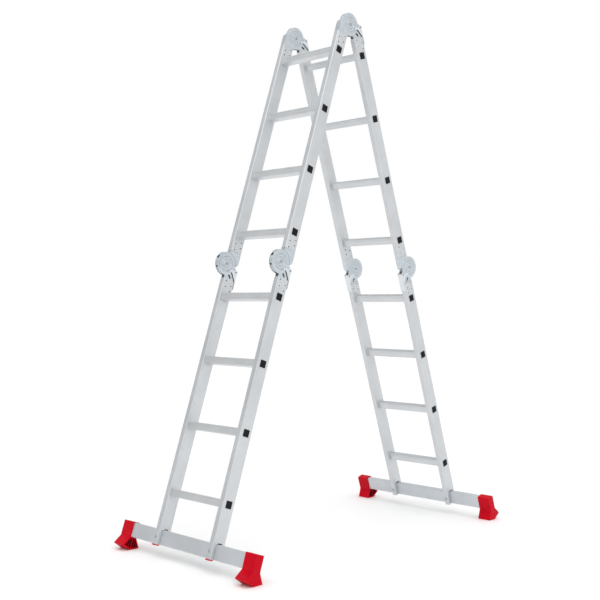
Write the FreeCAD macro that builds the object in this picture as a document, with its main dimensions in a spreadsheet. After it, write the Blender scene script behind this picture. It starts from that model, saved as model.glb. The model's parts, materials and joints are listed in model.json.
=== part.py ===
import FreeCAD, Part
import os
from math import asin, atan2, cos, degrees, radians, sin, tan

import Sketcher
from FreeCAD import Placement, Rotation, Vector

# Multi position ladder: four sections of four rungs, joined end to end by three lines of locking
# hinges, standing as a trestle with its two middle hinge lines straight.
#
# Row frame: +Z up, the floor at Z = 0, rungs along X, the front leg leans towards -Y and the
# rear leg towards +Y, origin on the floor under the middle of the ladder.
#
# Leg frame, shared by the pieces of one leg: origin on the top hinge's axis, X across the ladder,
# Y towards the inside of the trestle, Z up the leg. A station is a distance down the leg. The
# rear leg's frame is the front leg's, turned half a turn about the row's Z.
#
# Hinge frame, shared by the pieces of one hinge half: origin on the hinge axis in the middle of
# the stile's thickness, X across, Y from the axis to the stile, Z along the stile and away from
# the axis. Every half stays on its own side of the axis, so that the hinge can fold flat.

SIZES = {
    # the four sections
    "ladder_width": 354, "lean_angle": 18.48, "pivot_offset": 33, "hinge_spacing": 1120,
    "stile_depth": 60, "stile_thick": 25, "stile_wall": 1.8, "stile_round": 4,
    "tube_start": 62, "foot_end": 2311,
    "rung_size": 30, "rung_wall": 1.8, "rung_round": 2, "rung_pitch": 280, "first_rung": 140,
    "rung_count": 4, "collar_size": 38, "collar_thick": 3, "fit_gap": 0.15,
    "rib_width": 2, "rib_height": 0.8, "rib_pitch": 5, "rib_root": 0.5,
    "groove_low": 7, "groove_high": 8.6, "groove_depth": 0.8,
    "tube_recess": 0.5, "collar_gap": 0.05,
    "plug_size": 29, "plug_flange": 2, "plug_round": 3, "plug_neck": 14,
    # hinge plates
    "disc_radius": 50, "tooth_radius": 47, "tooth_half": 6, "running_gap": 0.3,
    "cheek_thick": 3, "dish_height": 1.7, "dish_base": 47, "dish_top": 41,
    "skirt_half": 12, "skirt_gap": 0.5, "relief_start": 9.6, "relief_slope": 4,
    "seam": 0.5, "tang_half": 10.4, "tang_end": 118,
    "near_edge": 4, "far_edge": 61.5, "tang_near": 6, "tang_far": 60, "pad_inset": 2,
    "axis_gap": 2, "slope_start": 52, "slope_knee": 60, "slope_rise": 12, "slope_end": 24,
    "notch_width": 6.8, "wide_notch": 14, "notch_floor": 41, "trestle_fold": 143.04,
    # rivets and pins
    "pivot_radius": 5, "pivot_clearance": 0.06, "pivot_head": 7.5, "pivot_head_thick": 2,
    "rivet_radius": 2.9, "rivet_head": 5.5, "rivet_rise": 1.4, "hole_clearance": 0.1,
    "seat_gap": 0.02,
    # release lever, lock pawl and spring
    "shaft_radius": 3, "shaft_y": 58, "shaft_z": 20, "lock_pin_y": 28, "lock_pin_z": 45,
    "slot_width": 7.2, "slot_inward": 2, "slot_outward": 11, "release_angle": 13,
    "lever_inside": 11.3,
    "lever_plate": 1.6, "lever_edge": 66, "lever_web": 2.4, "lever_tail": 97,
    "web_start": 58, "web_inside_end": 80, "shaft_clearance": 0.06, "shaft_stub": 0.5,
    "pawl_low": -5.4, "pawl_thick": 7.8, "pawl_width": 8.4, "pawl_drop": 6, "hub_radius": 5.2,
    "spring_radius": 4.6, "spring_wire": 1.0, "spring_turns": 3, "spring_start": 3.05,
    # stabiliser bars and feet
    "bar_half": 401.5, "bar_depth": 60, "bar_thick": 25, "bar_station": 2281,
    "slot_gap": 0.8, "slot_room": 4,
    "foot_inner": 343, "foot_outer": 406, "foot_wall": 4, "foot_half": 17, "foot_flare": 42,
    "foot_top": 2249, "foot_waist": 2312, "sole_vertex": 2363.2, "sole_thick": 6,
    "hollow_near": 2, "hollow_top": 13, "hollow_out": 34, "play": 0.3,
    "cap_thick": 5, "cap_overhang": 1, "bolt_radius": 4, "bolt_head": 7, "bolt_rise": 4.5,
    "bolt_station": 2281,
}

LOCK_FOLDS = (0, 90, SIZES["trestle_fold"], 180)      # degrees a hinge is folded at each notch
RIVET_SPOTS = ((17.5, 70), (48.5, 86), (17.5, 97), (48.5, 110))      # hinge frame Y and Z
SIDES = {"right": 1, "left": -1}
HINGE_LINES = {"front_knee": ("front_upper", "front_lower"),
               "top_hinge": ("front_upper", "rear_upper"),
               "rear_knee": ("rear_upper", "rear_lower")}      # toothed half, cheek half

doc = FreeCAD.newDocument("multi_position_ladder")
sheet = doc.addObject("Spreadsheet::Sheet", "dims")
for row, (alias, value) in enumerate(SIZES.items(), start=1):
    sheet.set(f"A{row}", alias)
    sheet.set(f"B{row}", str(value))
    sheet.setAlias(f"B{row}", alias)
doc.recompute()


def size(alias):
    """A driving dimension, read back from the sheet."""
    return float(sheet.get(alias))


LEAN = size("lean_angle")
STILE_X = (size("ladder_width") - size("stile_thick")) / 2      # middle of a stile's thickness
STILE_Y = -size("pivot_offset")                                 # middle of its depth, leg frame
# the ridge between a sole's two facets stands on the floor
PIVOT_HEIGHT = size("sole_vertex") * cos(radians(LEAN)) + STILE_Y * sin(radians(LEAN))
ALONG_X = Rotation(Vector(0, 1, 0), 90)
ALONG_Y = Rotation(Vector(1, 0, 0), -90)


def turned_about_x(angle):
    return Rotation(Vector(1, 0, 0), angle)


def leg_place(section):
    """Where the frame of a section's leg stands in the row frame."""
    turn = Rotation(Vector(0, 0, 1), 180 if section.startswith("rear") else 0)
    return Placement(Vector(0, 0, PIVOT_HEIGHT), turn.multiply(turned_about_x(-LEAN)))


def leg_side(section, side):
    """The leg frame's side, +1 or -1, of the row's right or left."""
    return -SIDES[side] if section.startswith("rear") else SIDES[side]


def hinge_place(line, section, side):
    """Where the frame of a hinge half stands in the row frame."""
    across = leg_side(section, side) * STILE_X
    if line == "top_hinge":
        local = Placement(Vector(across, 0, 0), turned_about_x(180))
    else:
        knee = Vector(across, 2 * STILE_Y, -size("hinge_spacing"))
        turn = Rotation() if section.endswith("upper") else Rotation(Vector(0, 1, 0), 180)
        local = Placement(knee, turn)
    return leg_place(section).multiply(local)


# ---- features, their sizes bound to the sheet -----------------------------------------------

def new_body(label, place):
    body = doc.addObject("PartDesign::Body", label)
    body.Label = label
    body.Placement = place
    return body


def attach(item, body, role):
    plane = [plane for plane in body.Origin.OriginFeatures if plane.Role == role][0]
    item.AttachmentSupport = [(plane, "")]
    item.MapMode = "FlatFace"


def primitive(body, kind, place, expressions):
    item = body.newObject(f"PartDesign::{kind}", kind)
    attach(item, body, "XY_Plane")
    item.AttachmentOffset = place
    for name, text in expressions.items():
        item.setExpression(name, text)
    return item


def corner_expressions(corner):
    return {f"AttachmentOffset.Base.{axis}": str(text) for axis, text in zip("xyz", corner)}


def block(body, low, high, cut=False):
    """A box from its low corner to its high corner, each given as three expressions."""
    lengths = {name: f"({top}) - ({bottom})"
               for name, top, bottom in zip(("Length", "Width", "Height"), high, low)}
    kind = "SubtractiveBox" if cut else "AdditiveBox"
    return primitive(body, kind, Placement(), {**lengths, **corner_expressions(low)})


def tilted_block(body, place, length, width, height, cut=False):
    """A box whose corner and turn are given by a placement in the body's frame."""
    kind = "SubtractiveBox" if cut else "AdditiveBox"
    lengths = {"Length": length, "Width": width, "Height": height}
    return primitive(body, kind, place, lengths)


def rod(body, start, radius, length, cut=False):
    """A cylinder along X from a start point given as three expressions."""
    kind = "SubtractiveCylinder" if cut else "AdditiveCylinder"
    return primitive(body, kind, Placement(Vector(), ALONG_X),
                     {"Radius": radius, "Height": length, **corner_expressions(start)})


def through_rod(body, y, z, radius, half):
    """A hole along X, from -half to +half."""
    return rod(body, (f"-({half})", y, z), radius, f"2 * ({half})", cut=True)


def cone(body, face, start, radii, height, cut=False):
    """A cone along X, away from the middle of a hinge plate, on one of the plate's faces."""
    turn = ALONG_X if face > 0 else Rotation(Vector(0, 1, 0), -90)
    offset = start if face > 0 else f"-({start})"
    kind = "SubtractiveCone" if cut else "AdditiveCone"
    return primitive(body, kind, Placement(Vector(), turn),
                     {"Radius1": radii[0], "Radius2": radii[1], "Height": height,
                      "AttachmentOffset.Base.x": offset})


def fillet(body, base, edges, radius):
    item = body.newObject("PartDesign::Fillet", "Fillet")
    item.Base = (base, edges)
    item.setExpression("Radius", radius)
    return item


def at(alias, plus=0):
    """A coordinate measured from a driving dimension: its value now and its expression."""
    return size(alias) + plus, f"dims.{alias} + ({plus})"


def minus(alias, plus=0):
    return plus - size(alias), f"{plus} - dims.{alias}"


def outline(body, corners, low, high, cut=False):
    """A flat shape in the body's YZ plane, from X = low to X = high.

    The corners run anticlockwise. Each is (y, z), or (y, z, radius) where the edge that leaves
    it is an arc that bulges outwards.
    """
    corners = [[item if isinstance(item, tuple) else (item, str(item)) for item in corner]
               for corner in corners]
    sketch = body.newObject("Sketcher::SketchObject", "Outline")
    attach(sketch, body, "YZ_Plane")
    sketch.setExpression("AttachmentOffset.Base.z", str(low))
    count = len(corners)
    for index, corner in enumerate(corners):
        following = corners[(index + 1) % count]
        start = Vector(corner[0][0], corner[1][0], 0)
        end = Vector(following[0][0], following[1][0], 0)
        if len(corner) == 2:
            sketch.addGeometry(Part.LineSegment(start, end), False)
            continue
        radius = corner[2][0]
        chord = end - start
        rise = radius - (radius ** 2 - chord.Length ** 2 / 4) ** 0.5
        outwards = Vector(chord.y, -chord.x, 0).normalize()
        sketch.addGeometry(Part.Arc(start, (start + end) / 2 + outwards * rise, end), False)
    for index, corner in enumerate(corners):
        sketch.addConstraint(Sketcher.Constraint("Coincident", index, 2, (index + 1) % count, 1))
        for kind, (value, text) in zip(("DistanceX", "DistanceY"), corner):
            number = sketch.addConstraint(Sketcher.Constraint(kind, -1, 1, index, 1, value))
            sketch.setExpression(f"Constraints[{number}]", text)
        if len(corner) == 3:
            number = sketch.addConstraint(Sketcher.Constraint("Radius", index, corner[2][0]))
            sketch.setExpression(f"Constraints[{number}]", corner[2][1])
    plate = body.newObject("PartDesign::Pocket" if cut else "PartDesign::Pad", "Plate")
    plate.Profile = sketch
    plate.Reversed = cut
    plate.setExpression("Length", f"({high}) - ({low})")
    return plate


def placed(shape, place):
    copy = shape.copy()
    copy.transformShape(place.toMatrix())
    return copy


def group(label, shapes):
    """One node of identical loose pieces, each a solid of its own."""
    node = doc.addObject("Part::Feature", label)
    node.Label = label
    node.Shape = Part.makeCompound(shapes)
    return node


def bound_group(label, bodies):
    """One node of a few bodies that are modelled one by one."""
    node = doc.addObject("Part::Compound", label)
    node.Label = label
    node.Links = bodies
    return node


# ---- stiles and rungs -----------------------------------------------------------------------

Z_EDGES = ["Edge1", "Edge3", "Edge5", "Edge7"]      # a box's edges along Z, and along X
X_EDGES = ["Edge9", "Edge10", "Edge11", "Edge12"]


def rung_station(level, number):
    """The expression of a rung's station; rungs are numbered from the top of their section."""
    first = "dims.first_rung" + (" + dims.hinge_spacing" if level == "lower" else "")
    return f"({first} + {number - 1} * dims.rung_pitch)"


def make_stile(section, side):
    """A hollow rectangular aluminium section, punched for its rungs, rivets and bar."""
    level = section.split("_")[1]
    if level == "upper":
        top, bottom = "dims.tube_start", "(dims.hinge_spacing - dims.tube_start)"
    else:
        top, bottom = "(dims.hinge_spacing + dims.tube_start)", "dims.foot_end"
    across = Vector(leg_side(section, side) * STILE_X, 0, 0)
    place = leg_place(section).multiply(Placement(across, Rotation()))
    body = new_body(f"{section}_{side}_stile", place)
    half, wall = "dims.stile_thick / 2", "dims.stile_wall"
    near, far = "-dims.pivot_offset - dims.stile_depth / 2", "-dims.pivot_offset + dims.stile_depth / 2"
    blank = block(body, (f"-{half}", near, f"-{bottom}"), (half, far, f"-{top}"))
    fillet(body, blank, Z_EDGES, "dims.stile_round")
    block(body, (f"-{half} + {wall}", f"{near} + {wall}", f"-{bottom} - 1"),
          (f"{half} - {wall}", f"{far} - {wall}", f"-{top} + 1"), cut=True)
    reach = "(dims.rung_size / 2 + dims.fit_gap)"
    for number in range(1, int(size("rung_count")) + 1):
        station = rung_station(level, number)
        block(body, (f"-{half} - 1", f"-dims.pivot_offset - {reach}", f"-{station} - {reach}"),
              (f"{half} + 1", f"-dims.pivot_offset + {reach}", f"-{station} + {reach}"), cut=True)
    radius = "dims.rivet_radius + dims.hole_clearance"
    for y, z in RIVET_SPOTS:
        if level == "upper":
            through_rod(body, f"-{y}", f"-{z}", radius, "dims.stile_thick")
        knee_z = f"-dims.hinge_spacing + {z if level == 'upper' else -z}"
        through_rod(body, f"-2 * dims.pivot_offset + {y}", knee_z, radius, "dims.stile_thick")
    if level == "lower":
        slot = "(dims.bar_thick / 2 + dims.slot_gap)"
        block(body, (f"-{half} - 1", f"-dims.pivot_offset - {slot}", f"-{bottom} - 1"),
              (f"{half} + 1", f"-dims.pivot_offset + {slot}",
               "-dims.bar_station + dims.bar_depth / 2 + dims.slot_room"), cut=True)
        hole = primitive(body, "SubtractiveCylinder", Placement(Vector(), ALONG_Y),
                         {"Radius": "dims.bolt_radius + dims.hole_clearance",
                          "Height": "dims.stile_depth + 2",
                          **corner_expressions(("0", f"{near} - 1", "-dims.bolt_station"))})
        hole.Label = "Bar bolt hole"
    return body


def make_rung(section, number):
    """A square tube with a ribbed tread and a swaged collar against each stile."""
    station = rung_station(section.split("_")[1], number)
    body = new_body(f"{section}_rung_{number}", leg_place(section))
    half, wall = "dims.rung_size / 2", "dims.rung_wall"
    end = "(dims.ladder_width / 2 - dims.tube_recess)"
    inside = "(dims.ladder_width / 2 - dims.stile_thick - dims.collar_gap)"
    y = "-dims.pivot_offset"
    blank = block(body, (f"-{end}", f"{y} - {half}", f"-{station} - {half}"),
                  (end, f"{y} + {half}", f"-{station} + {half}"))
    fillet(body, blank, X_EDGES, "dims.rung_round")
    collar = "dims.collar_size / 2"
    for low, high in ((f"{inside} - dims.collar_thick", inside),
                      (f"-{inside}", f"-{inside} + dims.collar_thick")):
        block(body, (low, f"{y} - {collar}", f"-{station} - {collar}"),
              (high, f"{y} + {collar}", f"-{station} + {collar}"))
    rib_end = f"({inside} - dims.collar_thick)"
    for rib in (-2, -1, 0, 1, 2):
        middle = f"{y} + {rib} * dims.rib_pitch"
        block(body, (f"-{rib_end}", f"{middle} - dims.rib_width / 2",
                     f"-{station} + {half} - dims.rib_root"),
              (rib_end, f"{middle} + dims.rib_width / 2",
               f"-{station} + {half} + dims.rib_height"))
    block(body, (f"-{end} - 1", f"{y} - {half} + {wall}", f"-{station} - {half} + {wall}"),
          (f"{end} + 1", f"{y} + {half} - {wall}", f"-{station} + {half} - {wall}"), cut=True)
    for low, high in ((f"{y} - {half} - 1", f"{y} - {half} + dims.groove_depth"),
                      (f"{y} + {half} - dims.groove_depth", f"{y} + {half} + 1")):
        block(body, (f"-{rib_end}", low, f"-{station} + dims.groove_low"),
              (rib_end, high, f"-{station} + dims.groove_high"), cut=True)
    return body


def rung_plug(section, number, across):
    """A black plastic plug in the end of a rung, its square head over the tube's edge."""
    station = size("first_rung") + (number - 1) * size("rung_pitch")
    if section.endswith("lower"):
        station += size("hinge_spacing")
    outer = size("ladder_width") / 2 - size("tube_recess")
    head, flange = size("plug_size"), size("plug_flange")
    neck, length = size("rung_size") - 2 * size("rung_wall") - size("play"), size("plug_neck")
    pieces = [(head, outer, flange), (neck, outer - length, length + flange / 2)]
    solids = []
    for width, low, length in pieces:
        corner = Vector(low, STILE_Y - width / 2, -station - width / 2)
        solids.append(Part.makeBox(length, width, width, corner))
    edges = [edge for edge in solids[0].Edges if abs(edge.BoundBox.XLength - flange) < 0.01]
    plug = solids[0].makeFillet(size("plug_round"), edges).fuse(solids[1]).removeSplitter()
    if across < 0:
        plug = plug.mirror(Vector(), Vector(1, 0, 0))
    return plug.Solids[0]


# ---- hinge halves ---------------------------------------------------------------------------

SEAM = at("tube_start", -size("seam"))      # where a half's skin meets the stile's end
HALF_OUTLINE = [(at("near_edge"), at("axis_gap")), (at("slope_start"), at("axis_gap")),
                (at("slope_knee"), at("slope_rise")), (at("far_edge"), at("slope_end")),
                (at("far_edge"), SEAM), (at("near_edge"), SEAM)]
TANG_OUTLINE = HALF_OUTLINE[:-1] + [(at("tang_far"), SEAM), (at("tang_far"), at("tang_end")),
                                    (at("tang_near"), at("tang_end")), (at("tang_near"), SEAM),
                                    (at("near_edge"), SEAM)]


def drill_tang(body):
    for y, z in RIVET_SPOTS:
        through_rod(body, str(y), str(z), "dims.rivet_radius + dims.hole_clearance",
                    "dims.stile_thick")


def tang_pad(body, low, high):
    """The thick middle of a tang, which fills the inside of its stile."""
    block(body, (low, "dims.tang_near + dims.pad_inset", "dims.tube_start + dims.pad_inset"),
          (high, "dims.tang_far - dims.pad_inset", "dims.tang_end - dims.pad_inset"))


def make_toothed_plate(line, section, side):
    """The inner plate: a disc notched for the lock, a skirt round the cheeks' discs and a tang."""
    body = new_body(f"{line}_{side}_toothed_plate", hinge_place(line, section, side))
    outline(body, HALF_OUTLINE, "-dims.skirt_half", "dims.skirt_half")
    inside = "(dims.disc_radius + dims.skirt_gap)"
    through_rod(body, "0", "0", inside, "dims.stile_thick")
    rise = "(dims.skirt_half + 1 - dims.relief_start)"
    for face in (1, -1):
        cone(body, face, "dims.relief_start", (inside, f"{inside} + dims.relief_slope * {rise}"),
             rise, cut=True)
    outline(body, TANG_OUTLINE, "-dims.tooth_half", "dims.tooth_half")
    rod(body, ("-dims.tooth_half", "0", "0"), "dims.tooth_radius", "2 * dims.tooth_half")
    tang_pad(body, "-dims.tang_half", "dims.tang_half")
    through_rod(body, "0", "0", "dims.pivot_radius + dims.pivot_clearance", "dims.stile_thick")
    drill_tang(body)
    lock_angle = degrees(atan2(-size("lock_pin_z"), size("lock_pin_y")))
    for fold in LOCK_FOLDS:
        width = "wide_notch" if fold == size("trestle_fold") else "notch_width"
        spoke = Placement(Vector(), turned_about_x(lock_angle - fold))
        corner = Vector(-size("stile_thick"), size("notch_floor"), -size(width) / 2)
        tilted_block(body, spoke.multiply(Placement(corner, Rotation())), "2 * dims.stile_thick",
                     f"{inside} - dims.notch_floor", f"dims.{width}", cut=True)
    return body


def make_cheek(line, section, side, face):
    """One of the two outer plates: a pressed disc on a tang, slotted for the lock pin."""
    body = new_body(f"{line}_{side}_cheek_{'b' if face < 0 else 'a'}",
                    hinge_place(line, section, side))
    inner = "(dims.tooth_half + dims.running_gap)"
    outer = f"({inner} + dims.cheek_thick)"
    if face > 0:
        low, high, tang_low, tang_high = inner, outer, inner, "dims.tang_half"
    else:
        low, high, tang_low, tang_high = f"-{outer}", f"-{inner}", "-dims.tang_half", f"-{inner}"
    outline(body, TANG_OUTLINE, low, high)
    rod(body, (low, "0", "0"), "dims.disc_radius", f"({high}) - ({low})")
    tang_pad(body, tang_low, tang_high)
    dish = cone(body, face, outer, ("dims.dish_base", "dims.dish_top"), "dims.dish_height")
    dish.Label = "Pressed dish"
    through_rod(body, "0", "0", "dims.pivot_radius + dims.hole_clearance", "dims.stile_thick")
    through_rod(body, "dims.shaft_y", "dims.shaft_z", "dims.shaft_radius + dims.shaft_clearance",
                "dims.stile_thick")
    drill_tang(body)
    cut_lock_slot(body)
    return body


def lock_slot_frame():
    """The lock pin at rest, with Y along the chord of its travel and away from the disc."""
    across = Vector(0, size("shaft_y") - size("lock_pin_y"), size("shaft_z") - size("lock_pin_z"))
    angle = degrees(atan2(across.y, -across.z)) - size("release_angle") / 2
    return Placement(Vector(0, size("lock_pin_y"), size("lock_pin_z")), turned_about_x(angle))


def cut_lock_slot(body):
    frame = lock_slot_frame()
    corner = Vector(-size("stile_thick"), -size("slot_inward"), -size("slot_width") / 2)
    tilted_block(body, frame.multiply(Placement(corner, Rotation())), "2 * dims.stile_thick",
                 "dims.slot_inward + dims.slot_outward", "dims.slot_width", cut=True)
    for along in (-size("slot_inward"), size("slot_outward")):
        end = frame.multVec(Vector(0, along, 0))
        through_rod(body, str(end.y), str(end.z), "dims.slot_width / 2", "dims.stile_thick")


def make_lock_pawl(line, section, side):
    """The pawl on the lever's shaft, carrying the pin that drops into the disc's notches."""
    body = new_body(f"{line}_{side}_lock_pawl", hinge_place(line, section, side))
    shaft = Vector(0, size("shaft_y"), size("shaft_z"))
    pin = Vector(0, size("lock_pin_y"), size("lock_pin_z"))
    reach = (pin - shaft).Length
    angle = degrees(atan2(pin.z - shaft.z, pin.y - shaft.y))
    corner = Placement(Vector(size("pawl_low"), 0, -size("pawl_drop")), Rotation())
    arm = Placement(shaft, turned_about_x(angle)).multiply(corner)
    tilted_block(body, arm, "dims.pawl_thick", str(reach), "dims.pawl_width")
    rod(body, ("dims.pawl_low", "dims.shaft_y", "dims.shaft_z"), "dims.hub_radius",
        "dims.pawl_thick")
    reach_out = "(dims.lever_inside + dims.lever_plate + dims.shaft_stub)"
    rod(body, (f"-{reach_out}", "dims.shaft_y", "dims.shaft_z"), "dims.shaft_radius",
        f"2 * {reach_out}")
    face = "(dims.tooth_half + dims.running_gap + dims.cheek_thick)"
    rod(body, (f"-{face}", "dims.lock_pin_y", "dims.lock_pin_z"), "dims.shaft_radius",
        f"2 * {face}")
    return body


def make_lever(line, section, side):
    """The release lever: two hooked side plates over the cheeks, joined by a finger tail."""
    body = new_body(f"{line}_{side}_release_lever", hinge_place(line, section, side))
    outside = "(dims.lever_inside + dims.lever_plate)"
    tip = [(21, 30), (20, 25), (24, 19.5), (33, 17)]
    heel = [(47, 17), (57, 11), (at("lever_edge", 1), 13), (at("lever_edge", 3), 22)]
    back = [(at("lever_edge"), 32), (at("lever_edge"), 61), (62, 61), (59, 56)]
    hollow = [(43, 34), (36, 27.5), (30, 26.5), (26, 30)]
    outline(body, tip + heel + back + hollow, f"-{outside}", outside)
    block(body, (f"-{outside}", "dims.lever_edge - dims.lever_web", "dims.web_start"),
          (outside, "dims.lever_edge", "dims.lever_tail"))
    block(body, ("-dims.lever_inside", "0", "0"),
          ("dims.lever_inside", "dims.lever_edge - dims.lever_web", "dims.web_inside_end"),
          cut=True)
    through_rod(body, "dims.shaft_y", "dims.shaft_z",
                "dims.shaft_radius + dims.shaft_clearance / 2", "dims.stile_thick")
    return body


def spring(line, section, side):
    """A close-wound torsion spring round the lever's shaft, between the pawl and a cheek."""
    wire, radius, turns = size("spring_wire"), size("spring_radius"), int(size("spring_turns"))
    waist = 0.3 * wire / 2                         # where neighbouring turns of round wire touch
    edges = [Part.LineSegment(Vector(end, radius - waist, 0), Vector(end, radius + waist, 0))
             for end in (0, turns * wire)]
    for sign in (-1, 1):
        for turn in range(turns):
            points = [Vector((turn + share) * wire, radius + sign * rise, 0)
                      for share, rise in ((0, waist), (0.5, wire / 2), (1, waist))]
            edges.append(Part.Arc(*points))
    profile = Part.Wire(Part.__sortEdges__([edge.toShape() for edge in edges]))
    coil = Part.Face(profile).revolve(Vector(), Vector(1, 0, 0), 360)
    spot = Vector(size("spring_start"), size("shaft_y"), size("shaft_z"))
    return placed(coil, hinge_place(line, section, side).multiply(Placement(spot, Rotation())))


# ---- rivets, pivots and bolts ---------------------------------------------------------------

def headed_pin(radius, half, head, rise):
    """A pin along X with a domed head at each end, turned from its profile."""
    dome_radius = (head ** 2 + rise ** 2) / (2 * rise)
    dome_centre = half + rise - dome_radius
    middle = asin(head / dome_radius) / 2

    def dome(side):
        shoulder, tip = Vector(side * half, head, 0), Vector(side * (half + rise), 0, 0)
        crown = Vector(side * (dome_centre + dome_radius * cos(middle)),
                       dome_radius * sin(middle), 0)
        return Part.Arc(shoulder, crown, tip).toShape()

    neck = [Vector(-half, head, 0), Vector(-half, radius, 0), Vector(half, radius, 0),
            Vector(half, head, 0)]
    edges = [Part.LineSegment(a, b).toShape() for a, b in zip(neck, neck[1:])]
    axis = Part.LineSegment(Vector(half + rise, 0, 0), Vector(-half - rise, 0, 0)).toShape()
    profile = Part.Wire(Part.__sortEdges__(edges + [dome(1), axis, dome(-1)]))
    return Part.Face(profile).revolve(Vector(), Vector(1, 0, 0), 360)


def section_fasteners(section):
    """Every rivet, pivot and bolt that rides with one section."""
    seat = size("seat_gap")
    rivet = headed_pin(size("rivet_radius"), size("stile_thick") / 2 + seat, size("rivet_head"),
                       size("rivet_rise"))
    disc_face = (size("tooth_half") + size("running_gap") + size("cheek_thick")
                 + size("dish_height"))
    pivot = headed_pin(size("pivot_radius"), disc_face + seat, size("pivot_head"),
                       size("pivot_head_thick"))
    solids = []
    for line, halves in HINGE_LINES.items():
        if section not in halves:
            continue
        for side in SIDES:
            frame = hinge_place(line, section, side)
            for y, z in RIVET_SPOTS:
                solids.append(placed(rivet, frame.multiply(Placement(Vector(0, y, z),
                                                                     Rotation()))))
            if section == halves[1]:
                solids.append(placed(pivot, frame))
    if section.endswith("lower"):
        bolt = headed_pin(size("bolt_radius"), size("stile_depth") / 2 + seat,
                          size("bolt_head"), size("bolt_rise"))
        for across in (-STILE_X, STILE_X):
            spot = Placement(Vector(across, STILE_Y, -size("bolt_station")),
                             Rotation(Vector(0, 0, 1), 90))
            solids.append(placed(bolt, leg_place(section).multiply(spot)))
    return solids


# ---- stabiliser bars and feet ---------------------------------------------------------------

def make_bar(leg):
    """The wide floor bar, a tube that passes through both stiles' forks."""
    body = new_body(f"{leg}_stabiliser_bar", leg_place(leg))
    y, z = "-dims.pivot_offset", "-dims.bar_station"
    half_y, half_z, wall = "dims.bar_thick / 2", "dims.bar_depth / 2", "dims.stile_wall"
    blank = block(body, ("-dims.bar_half", f"{y} - {half_y}", f"{z} - {half_z}"),
                  ("dims.bar_half", f"{y} + {half_y}", f"{z} + {half_z}"))
    fillet(body, blank, X_EDGES, "dims.stile_round")
    block(body, ("-dims.bar_half - 1", f"{y} - {half_y} + {wall}", f"{z} - {half_z} + {wall}"),
          ("dims.bar_half + 1", f"{y} + {half_y} - {wall}", f"{z} + {half_z} - {wall}"), cut=True)
    for x in (-STILE_X, STILE_X):
        primitive(body, "SubtractiveCylinder", Placement(Vector(), ALONG_Y),
                  {"Radius": "dims.bolt_radius + dims.hole_clearance",
                   "Height": "dims.bar_thick + 2",
                   **corner_expressions((str(x), f"{y} - {half_y} - 1", "-dims.bolt_station"))})
    return body


def foot_corner(sign, aside, station):
    """A corner of a foot's outline, that far to one side of the bar's middle."""
    y = STILE_Y + sign * size(aside)
    return (y, f"-dims.pivot_offset + {sign} * dims.{aside}"), minus(station)


def sole_corner(sign, aside, up=""):
    """A corner on the sole, or above it: two facets that fall to a ridge at the leg's lean."""
    y = STILE_Y + sign * size(aside)
    z = size(aside) * tan(radians(LEAN)) - size("sole_vertex") + (size(up) if up else 0)
    text = f"dims.{aside} * tan(dims.lean_angle) - dims.sole_vertex" + (f" + dims.{up}" if up else "")
    return (y, f"-dims.pivot_offset + {sign} * dims.{aside}"), (z, text)


def make_foot(leg, side):
    """A hollow red foot on a bar's end: a sleeve, a flare and a sole of two facets."""
    body = new_body(f"{leg}_{side}_foot", leg_place(leg))
    sign = leg_side(leg, side)
    inner, outer = "dims.foot_inner", "dims.foot_outer"
    low, high = (inner, outer) if sign > 0 else (f"-{outer}", f"-{inner}")
    ridge = ((STILE_Y, "-dims.pivot_offset"), minus("sole_vertex"))
    outline(body, [foot_corner(1, "foot_half", "foot_top"), foot_corner(-1, "foot_half", "foot_top"),
                   foot_corner(-1, "foot_half", "foot_waist"), sole_corner(-1, "foot_flare"), ridge,
                   sole_corner(1, "foot_flare"), foot_corner(1, "foot_half", "foot_waist")],
            low, high)
    reach = "dims.foot_outer - dims.foot_wall"
    near, far = ((f"{inner} - 1", reach) if sign > 0 else (f"-({reach})", f"-{inner} + 1"))
    y, z, play = "-dims.pivot_offset", "-dims.bar_station", "dims.play"
    block(body, (near, f"{y} - dims.bar_thick / 2 - {play}", f"{z} - dims.bar_depth / 2 - {play}"),
          (far, f"{y} + dims.bar_thick / 2 + {play}", f"{z} + dims.bar_depth / 2 + {play}"),
          cut=True)
    top = minus("foot_waist", -size("foot_wall"))
    for half in (-1, 1):
        hollow = [(foot_corner(half, "hollow_near", "foot_waist")[0], top),
                  (foot_corner(half, "hollow_top", "foot_waist")[0], top),
                  sole_corner(half, "hollow_out", "sole_thick"),
                  sole_corner(half, "hollow_near", "sole_thick")]
        outline(body, hollow if half < 0 else hollow[::-1], near, far, cut=True)
    return body


def make_toe_cap(leg, side):
    """A red cap under the outer prong of a stile's fork."""
    body = new_body(f"{leg}_{side}_toe_cap", leg_place(leg))
    x = str(leg_side(leg, side) * STILE_X)
    half = "(dims.stile_thick / 2 + dims.cap_overhang)"
    depth = "(dims.stile_depth / 2 + dims.cap_overhang)"
    prong = "(dims.bar_thick / 2 + dims.slot_gap + dims.play)"
    z = "-dims.foot_end - dims.hole_clearance"
    blank = block(body, (f"{x} - {half}", f"-dims.pivot_offset - {depth}", f"{z} - dims.cap_thick"),
                  (f"{x} + {half}", f"-dims.pivot_offset - {prong}", z))
    fillet(body, blank, Z_EDGES, "dims.stile_round")
    return body


# ---- the whole ladder -----------------------------------------------------------------------

nodes = []
for section in ("front_upper", "front_lower", "rear_upper", "rear_lower"):
    numbers = range(1, int(size("rung_count")) + 1)
    nodes += [make_stile(section, side) for side in SIDES]
    nodes += [make_rung(section, number) for number in numbers]
    plugs = [placed(rung_plug(section, number, across), leg_place(section))
             for number in numbers for across in (-1, 1)]
    nodes.append(group(f"{section}_rung_plugs", plugs))
    nodes.append(group(f"{section}_rivets", section_fasteners(section)))

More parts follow.
